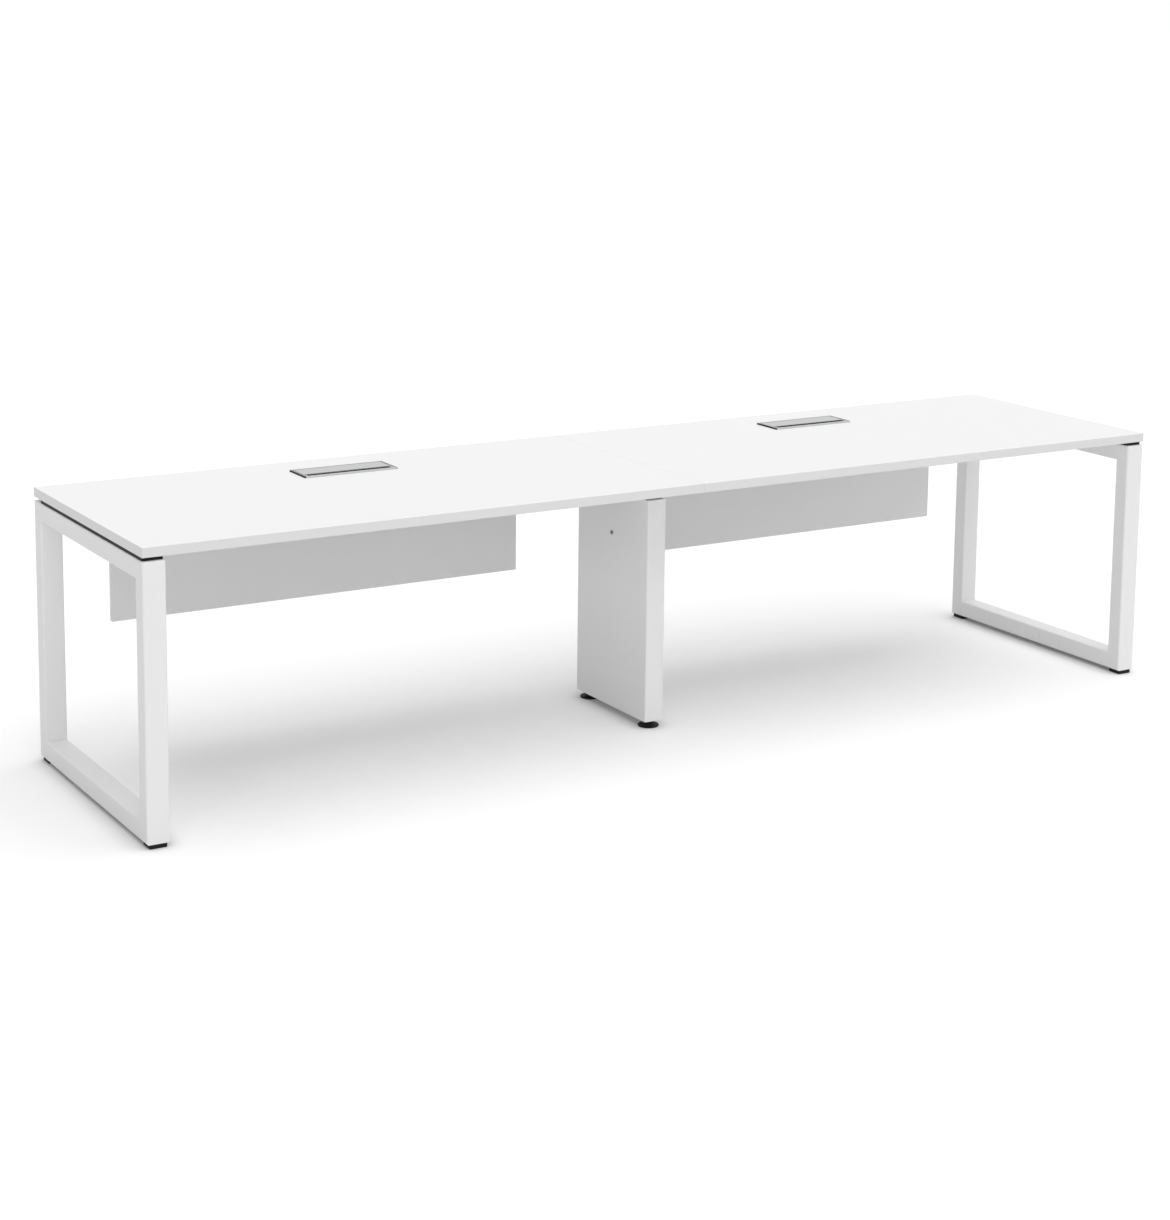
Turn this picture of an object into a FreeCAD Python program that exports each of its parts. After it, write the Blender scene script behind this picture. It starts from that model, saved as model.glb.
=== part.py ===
import FreeCAD, Part
import math
import os
from FreeCAD import Vector

# A two-seat linear bench desk: a long worktop on two closed loop legs and one set-back box leg.
# Millimetres. +X runs along the desk, +Y away from the person who sits at it, +Z is up.
# The origin is on the floor, under the middle of the worktop.

# Worktop
DESK_LENGTH = 3200.0
DESK_DEPTH = 800.0
DESK_HEIGHT = 750.0
TOP_THICK = 25.0
TOP_JOINT = 0.5
BAND_THICK = 2.0
BAND_ARRIS = 0.8

# Shadow gap and its spacers
SHADOW_GAP = 10.0
STRIP_WIDTH = 54.0
STRIP_FRONT_INSET = 10.0
STRIP_REAR_INSET = 45.0
BLOCK_LENGTH = 60.0
BLOCK_FROM_SEAM = 70.0
BLOCK_FROM_LEG = 80.0
SPACER_RADIUS = 3.0

# Loop legs, mitred rectangular tube
TUBE_WIDE = 60.0
TUBE_DEEP = 50.0
TUBE_WALL = 2.5
TUBE_RADIUS = 5.0
RAIL_SCREW_ROWS = (-250.0, 0.0, 250.0)

# Under-beams, rectangular tube with a welded end plate
BEAM_WIDE = 30.0
BEAM_DEEP = 50.0
BEAM_WALL = 2.0
BEAM_RADIUS = 3.0
BEAM_ROW = 110.0
BEAM_GAP = 4.0
PLATE_THICK = 6.0
PLATE_WIDE = 80.0
PLATE_BOLT_SPAN = 56.0

# Centre box leg
BOX_WIDE = 60.0
BOX_DEEP = 380.0
BOX_Y = 25.0
BOX_WALL = 2.0
BOX_RADIUS = 4.0
BASE_THICK = 6.0
CAP_THICK = 5.0

# Saddle on the centre leg
SADDLE_LENGTH = 350.0
SADDLE_THICK = 5.0
TONGUE_THICK = 4.0
TONGUE_WIDE = 60.0
TONGUE_END = 500.0
TONGUE_ROOM = 0.3
BOX_SCREW_Z = 533.0

# Levelling feet
PAD_HEIGHT = 12.0
PAD_SIDE = 46.0
PAD_RADIUS = 4.0
PAD_ARRIS = 1.5
BOX_CLEAR = 21.0
DISC_HEIGHT = 12.0
DISC_RADIUS = 30.0
DISC_RIM = 3.5
DISC_GROOVE_RADIUS = 24.0
DISC_HUB_RADIUS = 14.0
DISC_SPAN = 320.0
FOOT_ROOM = 0.5
SPANNER_TALL = 6.0
STEM_RADIUS = 5.0
STEM_ROOM = 0.05
STEM_LENGTH = 48.0
STEM_SEAT = 4.0
STEM_ARRIS = 1.0

# Modesty panels and their brackets
MODESTY_LENGTH = 1250.0
MODESTY_X = 775.0
MODESTY_Y = 372.0
MODESTY_THICK = 18.0
MODESTY_BOTTOM = 363.0
MODESTY_TOP = 718.0
BRACKET_REACH = 430.0
BRACKET_WIDE = 60.0
BRACKET_DROP = 62.0
BRACKET_DEEP = 52.0
BRACKET_THICK = 3.0
BRACKET_BEND = 2.0
BRACKET_SCREW_SPAN = 36.0
BRACKET_SCREW_IN = 18.0

# Joining plates under the seam of the two boards
JOINER_LENGTH = 120.0
JOINER_WIDE = 60.0
JOINER_ROWS = (-300.0, 310.0)
JOINER_SCREW_X = 40.0
JOINER_SCREW_Y = 18.0

# Cable outlets
OUTLET_X = 780.0
OUTLET_Y = 222.0
FLANGE_LENGTH = 280.0
FLANGE_DEEP = 108.0
FLANGE_THICK = 4.0
FLANGE_RADIUS = 5.0
FLANGE_ARRIS = 0.6
END_CAP_THICK = 3.0
COLLAR_INSET = 3.0
COLLAR_WALL = 2.0
COLLAR_DROP = 22.0
COLLAR_ROOM = 0.2
LIP_DEEP = 10.0
LEDGE_WIDE = 6.0
LEDGE_THICK = 2.0
LEDGE_ROOM = 0.4
LID_THICK = 2.5
LID_END_GAP = 3.5
LID_FRONT_GAP = 0.5
LID_REAR_GAP = 2.5
LID_CORNER = 2.0
SLOT_LENGTH = 254.0
SLOT_DEEP = 22.0
BARREL_RADIUS = 2.5
PIN_RADIUS = 1.5
PIN_ROOM = 0.05
PIN_LENGTH = 13.0
PIN_END_ROOM = 2.0
BRUSH_LENGTH = 252.0
BRUSH_BACK = 4.0
BRUSH_BACK_TALL = 1.8
BRUSH_HAIR_TALL = 1.4
BRUSH_TIP_ROOM = 0.8

# Fasteners
M6_RADIUS = 3.0
M6_HEAD_RADIUS = 6.0
M6_HEAD = 3.5
M6_BITE = 15.0
M8_RADIUS = 4.0
M8_CLEAR = 4.5
M8_FLATS = 13.0
M8_HEAD = 5.3
M8_NUT = 6.5
SADDLE_BOLT_X = 13.0
M10_FLATS = 17.0
M10_NUT = 8.0
WOOD_RADIUS = 2.0
WOOD_HEAD_RADIUS = 4.0
WOOD_HEAD = 2.6
WOOD_BITE = 12.0

# Levels and faces that follow from those
X, Y, Z = 0, 1, 2
UP = Vector(0, 0, 1)
DOWN = Vector(0, 0, -1)
HALF_LENGTH = DESK_LENGTH / 2
HALF_DEPTH = DESK_DEPTH / 2
TOP_UNDER = DESK_HEIGHT - TOP_THICK
LEG_TOP = TOP_UNDER - SHADOW_GAP
RAIL_UNDER = LEG_TOP - TUBE_DEEP
BEAM_UNDER = LEG_TOP - BEAM_DEEP
LEG_X = HALF_LENGTH - TUBE_WIDE / 2
LEG_INNER = HALF_LENGTH - TUBE_WIDE
POST_Y = HALF_DEPTH - TUBE_DEEP / 2
BOX_BOTTOM = BOX_CLEAR
BOX_TOP = BEAM_UNDER - SADDLE_THICK
PLATE_FACE = LEG_INNER - PLATE_THICK
SIDES = {"left": -1, "right": 1}
ROWS = {"front": -1, "rear": 1}

# Lines of a cable outlet, measured from its middle on the worktop's upper face
COLLAR_X = FLANGE_LENGTH / 2 - COLLAR_INSET
COLLAR_Y = FLANGE_DEEP / 2 - COLLAR_INSET
WELL_X = COLLAR_X - COLLAR_WALL
WELL_Y = COLLAR_Y - COLLAR_WALL
LID_X = WELL_X - LID_END_GAP
LIP_Y = LIP_DEEP - FLANGE_DEEP / 2
LID_FRONT = LIP_Y + LID_FRONT_GAP
LID_UNDER = FLANGE_THICK - LID_THICK
HINGE = Vector(0, WELL_Y - LID_REAR_GAP - BARREL_RADIUS, FLANGE_THICK - BARREL_RADIUS)


def span(middle, size):
    """The low and high ends of a size centred on a middle."""
    return (middle - size / 2, middle + size / 2)


def ordered(one, other):
    """Two values as a low and a high end."""
    return (min(one, other), max(one, other))


def block(x, y, z):
    """A box from its low and high ends along each axis."""
    return Part.makeBox(x[1] - x[0], y[1] - y[0], z[1] - z[0], Vector(x[0], y[0], z[0]))


def edges_along(solid, axis):
    """The straight edges of a solid that run along one axis."""
    found = []
    for edge in solid.Edges:
        if isinstance(edge.Curve, Part.Line) and abs(edge.Curve.Direction[axis]) > 0.999:
            found.append(edge)
    return found


def edges_at(solid, level):
    """The edges of a solid that lie wholly at one height."""
    return [e for e in solid.Edges if abs(e.BoundBox.ZMin - level) + abs(e.BoundBox.ZMax - level) < 1e-3]


def rounded_block(x, y, z, axis, radius):
    """A box whose four edges along one axis are rounded."""
    solid = block(x, y, z)
    return solid.makeFillet(radius, edges_along(solid, axis))


def tube(x, y, z, axis, wall, radius):
    """A hollow bar along one axis, with rounded long edges and open ends."""
    bore = []
    for index, (low, high) in enumerate((x, y, z)):
        inset = -wall if index == axis else wall
        bore.append((low + inset, high - inset))
    return rounded_block(x, y, z, axis, radius).cut(rounded_block(*bore, axis, radius - wall / 2))


def rod(radius, base, direction, length):
    """A round bar that starts at base and runs along direction."""
    return Part.makeCylinder(radius, length, base, direction)


def hexagon(flats, base, direction, height):
    """A hexagonal bar that starts at base and runs along direction."""
    reach = flats / math.sqrt(3)
    corners = []
    for turn in range(7):
        angle = math.radians(60 * turn)
        corners.append(Vector(reach * math.cos(angle), reach * math.sin(angle), 0))
    solid = Part.Face(Part.makePolygon(corners)).extrude(UP * height)
    solid.Placement = FreeCAD.Placement(base, FreeCAD.Rotation(UP, direction))
    return solid


def dome(radius, base, direction, height):
    """A low round screw head that sits on base and rises along direction."""
    head = rod(radius, Vector(), UP, height)
    head = head.makeChamfer(height / 2, edges_at(head, height))
    head.Placement = FreeCAD.Placement(base, FreeCAD.Rotation(UP, direction))
    return head


def screw(head, shank_radius, base, direction, length):
    """A headed screw: the head's seat is at base and the shank runs along direction."""
    return head.fuse(rod(shank_radius, base, direction, length)).removeSplitter()


def drill(solid, radius, places, direction, length):
    """The solid with a round hole at each place."""
    return solid.cut([rod(radius, place, direction, length) for place in places])


def save(node, solids):
    """Writes one node, a single solid or a group of separate ones."""
    shape = solids if isinstance(solids, Part.Shape) else Part.makeCompound(solids)
    shape.exportStep("parts/" + node + ".step")


# Places that several pieces share

def rail_screw_places(side):
    """Where the long screws pass through a loop leg's top rail, at the rail's underside."""
    return [Vector(side * LEG_X, y, RAIL_UNDER) for y in RAIL_SCREW_ROWS]


def beam_block_places(side, row):
    """The middles of the spacers on one beam, at the beam's underside."""
    return [Vector(side * x, row * BEAM_ROW, BEAM_UNDER)
            for x in (BLOCK_FROM_SEAM, MODESTY_X, LEG_INNER - BLOCK_FROM_LEG)]


def long_screw_places(side):
    """Where the screws that hold one board start, under the leg's top rail and the beams."""
    places = rail_screw_places(side)
    for row in ROWS.values():
        places += beam_block_places(side, row)
    return places


def plate_bolt_places(side):
    """Where the bolts of both beams' end plates meet one loop leg, on the plates' open face."""
    places = []
    for row in ROWS.values():
        for y in span(row * BEAM_ROW, PLATE_BOLT_SPAN):
            places.append(Vector(side * PLATE_FACE, y, LEG_TOP - BEAM_DEEP / 2))
    return places


def saddle_bolt_places():
    """Where the beam ends are bolted down to the saddle, on the floor inside each beam."""
    return [Vector(side * SADDLE_BOLT_X, row * BEAM_ROW, BEAM_UNDER + BEAM_WALL)
            for side in SIDES.values() for row in ROWS.values()]


def bracket_middles(side):
    """The middles, along the desk, of one modesty panel's two brackets."""
    return [side * MODESTY_X - BRACKET_REACH, side * MODESTY_X + BRACKET_REACH]


def bracket_top_places(side):
    """Screw places under the worktop, on the brackets' lower face."""
    places = []
    for middle in bracket_middles(side):
        for x in span(middle, BRACKET_SCREW_SPAN):
            places.append(Vector(x, MODESTY_Y - BRACKET_DEEP + BRACKET_SCREW_IN, TOP_UNDER - BRACKET_THICK))
    return places


def bracket_panel_places(side):
    """Screw places on the front of the brackets' hanging leg."""
    places = []
    for middle in bracket_middles(side):
        for x in span(middle, BRACKET_SCREW_SPAN):
            places.append(Vector(x, MODESTY_Y - BRACKET_THICK, TOP_UNDER - BRACKET_DROP + BRACKET_SCREW_IN))
    return places


def joiner_screw_places(side):
    """Screw places of the joining plates under one board, on the plates' lower face."""
    return [Vector(side * JOINER_SCREW_X, y, TOP_UNDER - BRACKET_THICK)
            for row in JOINER_ROWS for y in span(row, 2 * JOINER_SCREW_Y)]


# Worktop

def board_span(side):
    """The low and high ends of one board with its edge band, along the desk."""
    return ordered(side * TOP_JOINT / 2, side * HALF_LENGTH)


def make_worktop(name, side):
    """One board with its outlet cut-out and screw holes, and the band round its edges."""
    x, y, z = board_span(side), span(0, DESK_DEPTH), (TOP_UNDER, DESK_HEIGHT)
    core = block((x[0] + BAND_THICK, x[1] - BAND_THICK), (y[0] + BAND_THICK, y[1] - BAND_THICK), z)
    outer = block(x, y, z)
    outer = outer.makeFillet(BAND_ARRIS, edges_at(outer, DESK_HEIGHT) + edges_at(outer, TOP_UNDER))
    save("edge_band_" + name, outer.cut(core))

    room = COLLAR_ROOM * 2 - COLLAR_INSET * 2
    cut_out = rounded_block(span(side * OUTLET_X, FLANGE_LENGTH + room),
                            span(OUTLET_Y, FLANGE_DEEP + room), z, Z, FLANGE_RADIUS - COLLAR_INSET)
    core = core.cut(cut_out)
    long_screws = [Vector(p.x, p.y, TOP_UNDER) for p in long_screw_places(side)]
    core = drill(core, M6_RADIUS, long_screws, UP, M6_BITE)
    wood_screws = bracket_top_places(side) + joiner_screw_places(side)
    core = drill(core, WOOD_RADIUS, [Vector(p.x, p.y, TOP_UNDER) for p in wood_screws], UP, WOOD_BITE)
    save("worktop_" + name, core)


def make_joiners():
    """Flat steel plates that hold the two boards level at their seam."""
    plates = []
    holes = joiner_screw_places(-1) + joiner_screw_places(1)
    for row in JOINER_ROWS:
        plate = rounded_block(span(0, JOINER_LENGTH), span(row, JOINER_WIDE),
                              (TOP_UNDER - BRACKET_THICK, TOP_UNDER), Z, SPACER_RADIUS)
        plates.append(drill(plate, WOOD_RADIUS, holes, UP, BRACKET_THICK))
    save("joining_plates", plates)


# Loop legs

def loop_corners(inset):
    """The corners of the loop's outline in its own plane, moved inwards by an inset."""
    low, high = PAD_HEIGHT + inset, LEG_TOP - inset
    reach = HALF_DEPTH - inset
    return {"front_low": (-reach, low), "front_high": (-reach, high),
            "rear_low": (reach, low), "rear_high": (reach, high)}


def mitre_wedge(side, start, end):
    """The slice of the loop between the mitres at two of its corners."""
    outer, inner = loop_corners(0), loop_corners(TUBE_DEEP)
    ring = [outer[start], outer[end], inner[end], inner[start], outer[start]]
    low = side * LEG_X - TUBE_WIDE
    face = Part.Face(Part.makePolygon([Vector(low, y, z) for y, z in ring]))
    return face.extrude(Vector(2 * TUBE_WIDE, 0, 0))


def make_loop_leg(name, side):
    """Four mitred tubes, welded into a closed loop that stands flush with the worktop's end."""
    x = span(side * LEG_X, TUBE_WIDE)
    height = (PAD_HEIGHT, LEG_TOP)
    for row_name, row in ROWS.items():
        post = tube(x, span(row * POST_Y, TUBE_DEEP), height, Z, TUBE_WALL, TUBE_RADIUS)
        wedge = mitre_wedge(side, row_name + "_low", row_name + "_high")
        save(name + "_leg_" + row_name + "_post", post.common(wedge))

    depth = span(0, DESK_DEPTH)
    top = tube(x, depth, (RAIL_UNDER, LEG_TOP), Y, TUBE_WALL, TUBE_RADIUS)
    top = top.common(mitre_wedge(side, "front_high", "rear_high"))
    top = drill(top, M6_RADIUS, rail_screw_places(side), UP, TUBE_DEEP)
    inwards = Vector(side, 0, 0)
    top = drill(top, M8_RADIUS, plate_bolt_places(side), inwards, PLATE_THICK + 2 * TUBE_WALL)
    save(name + "_leg_top_rail", top)

    bottom = tube(x, depth, (PAD_HEIGHT, PAD_HEIGHT + TUBE_DEEP), Y, TUBE_WALL, TUBE_RADIUS)
    bottom = bottom.common(mitre_wedge(side, "front_low", "rear_low"))
    feet = [Vector(side * LEG_X, row * POST_Y, PAD_HEIGHT) for row in ROWS.values()]
    bottom = drill(bottom, STEM_RADIUS + STEM_ROOM, feet, UP, 2 * TUBE_WALL)
    save(name + "_leg_bottom_rail", bottom)
    save(name + "_leg_foot_nuts", [foot_nut(p + UP * TUBE_WALL) for p in feet])

    along = (STRIP_FRONT_INSET - HALF_DEPTH, HALF_DEPTH - STRIP_REAR_INSET)
    strip = rounded_block(span(side * LEG_X, STRIP_WIDTH), along, (LEG_TOP, TOP_UNDER), Z, SPACER_RADIUS)
    strip = drill(strip, M6_RADIUS, [p + UP * TUBE_DEEP for p in rail_screw_places(side)], UP, SHADOW_GAP)
    save(name + "_leg_spacer", strip)


# Levelling feet

def foot_nut(base):
    """A weld nut for a foot's stem."""
    nut = hexagon(M10_FLATS, base, UP, M10_NUT)
    return nut.cut(rod(STEM_RADIUS + STEM_ROOM, base, UP, M10_NUT))


def make_stem(base):
    """A foot's threaded stem, which starts inside the pad."""
    seat = base + UP * STEM_SEAT
    stem = rod(STEM_RADIUS, seat, UP, STEM_LENGTH)
    return stem.makeChamfer(STEM_ARRIS, edges_at(stem, seat.z + STEM_LENGTH))


def bore_pad(pad, base):
    """A foot's pad with the blind hole that its stem is moulded into."""
    return drill(pad, STEM_RADIUS, [base + UP * STEM_SEAT], UP, STEM_LENGTH)


def make_square_foot(name, x, y):
    """A low square pad, as under the loop legs."""
    height = PAD_HEIGHT - FOOT_ROOM
    pad = rounded_block(span(x, PAD_SIDE), span(y, PAD_SIDE), (0, height), Z, PAD_RADIUS)
    pad = pad.makeChamfer(PAD_ARRIS, edges_at(pad, 0))
    base = Vector(x, y, 0)
    save("foot_pad_" + name, bore_pad(pad, base))
    save("foot_stem_" + name, make_stem(base))


def make_disc_foot(name, y):
    """A flanged disc with a dished top and hub, and a stem with a spanner collar, for the centre leg."""
    outline = [(0, 0), (DISC_RADIUS - PAD_ARRIS, 0), (DISC_RADIUS, PAD_ARRIS), (DISC_RADIUS, DISC_RIM),
               (DISC_RADIUS - PAD_ARRIS, DISC_RIM + PAD_ARRIS), (DISC_GROOVE_RADIUS, DISC_RIM),
               (DISC_HUB_RADIUS + SPACER_RADIUS, DISC_RIM + PAD_ARRIS), (DISC_HUB_RADIUS, DISC_HEIGHT),
               (0, DISC_HEIGHT)]
    points = [Vector(r, 0, z) for r, z in outline]
    pad = Part.Face(Part.makePolygon(points + points[:1])).revolve(Vector(), UP, 360)
    base = Vector(0, y, 0)
    pad.translate(base)
    save("foot_pad_" + name, bore_pad(pad, base))
    collar = hexagon(M10_FLATS, base + UP * DISC_HEIGHT, UP, SPANNER_TALL)
    save("foot_stem_" + name, make_stem(base).fuse(collar).removeSplitter())


# Centre leg

def make_centre_leg():
    """The box leg: folded shell, base plate, top plate and the nuts of its two feet."""
    x, y = span(0, BOX_WIDE), span(BOX_Y, BOX_DEEP)
    shell = tube(x, y, (BOX_BOTTOM, BOX_TOP), Z, BOX_WALL, BOX_RADIUS)
    face = Vector(x[0], BOX_Y, BOX_SCREW_Z)
    save("centre_leg_shell", drill(shell, M6_RADIUS, [face], Vector(1, 0, 0), 2 * BOX_WALL))

    inside_x, inside_y = span(0, BOX_WIDE - 2 * BOX_WALL), span(BOX_Y, BOX_DEEP - 2 * BOX_WALL)
    radius = BOX_RADIUS - BOX_WALL / 2
    feet = [Vector(0, y, BOX_BOTTOM) for y in span(BOX_Y, DISC_SPAN)]
    base = rounded_block(inside_x, inside_y, (BOX_BOTTOM, BOX_BOTTOM + BASE_THICK), Z, radius)
    save("centre_leg_base_plate", drill(base, STEM_RADIUS + STEM_ROOM, feet, UP, BASE_THICK))
    save("centre_leg_foot_nuts", [foot_nut(p + UP * BASE_THICK) for p in feet])

    cap = rounded_block(inside_x, inside_y, (BOX_TOP - CAP_THICK, BOX_TOP), Z, radius)
    slot = block((inside_x[0], inside_x[0] + TONGUE_THICK + TONGUE_ROOM),
                 span(BOX_Y, TONGUE_WIDE + 2 * TONGUE_ROOM), (BOX_TOP - CAP_THICK, BOX_TOP))
    save("centre_leg_top_plate", cap.cut(slot))


def make_saddle():
    """A black bar that carries the beam ends, with a tongue that reaches down into the leg."""
    x = span(0, BOX_WIDE - 2 * BOX_WALL)
    bar = rounded_block(x, span(BOX_Y, SADDLE_LENGTH), (BOX_TOP, BEAM_UNDER), Z, SPACER_RADIUS)
    tongue = block((x[0], x[0] + TONGUE_THICK), span(BOX_Y, TONGUE_WIDE), (TONGUE_END, BEAM_UNDER))
    saddle = bar.fuse(tongue).removeSplitter()
    saddle = drill(saddle, M8_RADIUS, saddle_bolt_places(), DOWN, BEAM_WALL + SADDLE_THICK)
    place = Vector(x[0], BOX_Y, BOX_SCREW_Z)
    save("centre_leg_saddle", drill(saddle, M6_RADIUS, [place], Vector(1, 0, 0), TONGUE_THICK))

    outside, inwards = Vector(-BOX_WIDE / 2, BOX_Y, BOX_SCREW_Z), Vector(1, 0, 0)
    head = dome(M6_HEAD_RADIUS, outside, inwards * -1, M6_HEAD)
    save("centre_leg_screw", screw(head, M6_RADIUS, outside, inwards, M6_BITE))


# Beams

def make_beam(name, side, row):
    """One under-beam with its welded end plate, from the loop leg to the saddle."""
    y, z = span(row * BEAM_ROW, BEAM_WIDE), (BEAM_UNDER, LEG_TOP)
    x = ordered(side * BEAM_GAP / 2, side * PLATE_FACE)
    beam = tube(x, y, z, X, BEAM_WALL, BEAM_RADIUS)
    plate = rounded_block(ordered(side * PLATE_FACE, side * LEG_INNER), span(row * BEAM_ROW, PLATE_WIDE), z,
                          X, BEAM_RADIUS)
    plate = drill(plate, M8_CLEAR, plate_bolt_places(side), Vector(side, 0, 0), PLATE_THICK)
    beam = drill(beam, M6_RADIUS, beam_block_places(side, row), UP, BEAM_DEEP)
    beam = drill(beam, M8_CLEAR, saddle_bolt_places(), DOWN, BEAM_WALL)
    save(name, beam.fuse(plate))


def make_beam_spacers():
    """Black blocks between the beams and the worktop."""
    blocks = []
    for side in SIDES.values():
        for row in ROWS.values():
            for place in beam_block_places(side, row):
                x, y = span(place.x, BLOCK_LENGTH), span(place.y, BEAM_WIDE)
                spacer = rounded_block(x, y, (LEG_TOP, TOP_UNDER), Z, SPACER_RADIUS)
                blocks.append(drill(spacer, M6_RADIUS, [Vector(place.x, place.y, LEG_TOP)], UP, SHADOW_GAP))
    save("beam_spacers", blocks)


# Modesty panels

def make_modesty(name, side):
    """One thin panel and the two angle brackets that hang it under the worktop."""
    x = span(side * MODESTY_X, MODESTY_LENGTH)
    panel = block(x, (MODESTY_Y, MODESTY_Y + MODESTY_THICK), (MODESTY_BOTTOM, MODESTY_TOP))
    fixings = [Vector(p.x, MODESTY_Y, p.z) for p in bracket_panel_places(side)]
    panel = drill(panel, WOOD_RADIUS, fixings, Vector(0, 1, 0), WOOD_BITE)
    save("modesty_panel_" + name, panel.makeChamfer(BAND_ARRIS, edges_along(panel, X)))

    brackets = []
    for middle in bracket_middles(side):
        x = span(middle, BRACKET_WIDE)
        corner = block(x, (MODESTY_Y - BRACKET_DEEP, MODESTY_Y), (TOP_UNDER - BRACKET_DROP, TOP_UNDER))
        waste = block(x, (MODESTY_Y - BRACKET_DEEP, MODESTY_Y - BRACKET_THICK),
                      (TOP_UNDER - BRACKET_DROP, TOP_UNDER - BRACKET_THICK))
        bend = [e for e in edges_along(waste, X) if e.BoundBox.YMin > MODESTY_Y - BRACKET_DEEP / 2
                and e.BoundBox.ZMin > TOP_UNDER - BRACKET_DROP / 2]
        bracket = corner.cut(waste.makeFillet(BRACKET_BEND, bend))
        bracket = drill(bracket, WOOD_RADIUS, bracket_top_places(side), UP, BRACKET_THICK)
        bracket = drill(bracket, WOOD_RADIUS, bracket_panel_places(side), Vector(0, 1, 0), BRACKET_THICK)
        brackets.append(bracket)
    save("modesty_brackets_" + name, brackets)


# Cable outlets

def brush_back():
    """The brush's back, which slides into a groove in the frame's front lip."""
    z = span(FLANGE_THICK / 2, BRUSH_BACK_TALL)
    return block(span(0, BRUSH_LENGTH), (LIP_Y - BRUSH_BACK, LIP_Y), z)


def make_outlet_frame():
    """The drawn frame of an outlet, with its collar, lid ledges and brush groove, and its two end caps."""
    y, z = span(0, FLANGE_DEEP), (0, FLANGE_THICK)
    flange = rounded_block(span(0, FLANGE_LENGTH), y, z, Z, FLANGE_RADIUS)
    flange = flange.makeFillet(FLANGE_ARRIS, edges_at(flange, FLANGE_THICK))
    flange = flange.cut(block((-WELL_X, WELL_X), (LIP_Y, WELL_Y), z))
    middle = block(span(0, FLANGE_LENGTH - 2 * END_CAP_THICK), y, z)
    caps = flange.cut(middle).Solids

    collar = rounded_block((-COLLAR_X, COLLAR_X), (-COLLAR_Y, COLLAR_Y), (-COLLAR_DROP, 0), Z,
                           FLANGE_RADIUS - COLLAR_INSET)
    collar = collar.cut(block((-WELL_X, WELL_X), (-WELL_Y, WELL_Y), (-COLLAR_DROP, 0)))
    frame = flange.common(middle).fuse(collar)
    ledge_top = LID_UNDER - LEDGE_ROOM
    for end in SIDES.values():
        ledge = block(ordered(end * (WELL_X - LEDGE_WIDE), end * WELL_X),
                      (-WELL_Y, HINGE.y - 2 * BARREL_RADIUS), (ledge_top - LEDGE_THICK, ledge_top))
        frame = frame.fuse(ledge)
    along = Vector(1, 0, 0)
    frame = drill(frame.removeSplitter(), PIN_RADIUS, [HINGE - along * COLLAR_X], along, 2 * COLLAR_X)
    return frame.cut(brush_back()), caps


def make_lid():
    """The hinged lid, with the rolled barrel at its back and a cable slot along its front edge."""
    x, z = (-LID_X, LID_X), (LID_UNDER, FLANGE_THICK)
    plate = rounded_block(x, (LID_FRONT, HINGE.y + LID_CORNER), z, Z, LID_CORNER)
    plate = plate.cut(block(x, (HINGE.y, HINGE.y + LID_CORNER), z))
    plate = plate.cut(block(span(0, SLOT_LENGTH), (LID_FRONT, LID_FRONT + SLOT_DEEP), z))
    along = Vector(1, 0, 0)
    lid = plate.fuse(rod(BARREL_RADIUS, HINGE - along * LID_X, along, 2 * LID_X)).removeSplitter()
    for end in SIDES.values():
        lid = drill(lid, PIN_RADIUS + PIN_ROOM, [HINGE + along * end * COLLAR_X], along * -end,
                    PIN_LENGTH + PIN_END_ROOM)
    return lid


def make_outlet(name, side):
    """One cable outlet: frame with end caps, hinged lid with a cable slot, hinge pins and brush."""
    frame, caps = make_outlet_frame()
    pins = []
    for end in SIDES.values():
        pins.append(rod(PIN_RADIUS, HINGE + Vector(end * COLLAR_X, 0, 0), Vector(-end, 0, 0), PIN_LENGTH))
    hair = block(span(0, BRUSH_LENGTH), (LIP_Y, LID_FRONT + SLOT_DEEP - BRUSH_TIP_ROOM),
                 span(FLANGE_THICK / 2, BRUSH_HAIR_TALL))
    place = Vector(side * OUTLET_X, OUTLET_Y, DESK_HEIGHT)
    for node, solids in {"frame": [frame], "end_caps": caps, "lid": [make_lid()], "hinge_pins": pins,
                         "brush": [brush_back().fuse(hair)]}.items():
        for solid in solids:
            solid.translate(place)
        save("outlet_" + node + "_" + name, solids[0] if len(solids) == 1 else solids)


# Fasteners in groups

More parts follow.
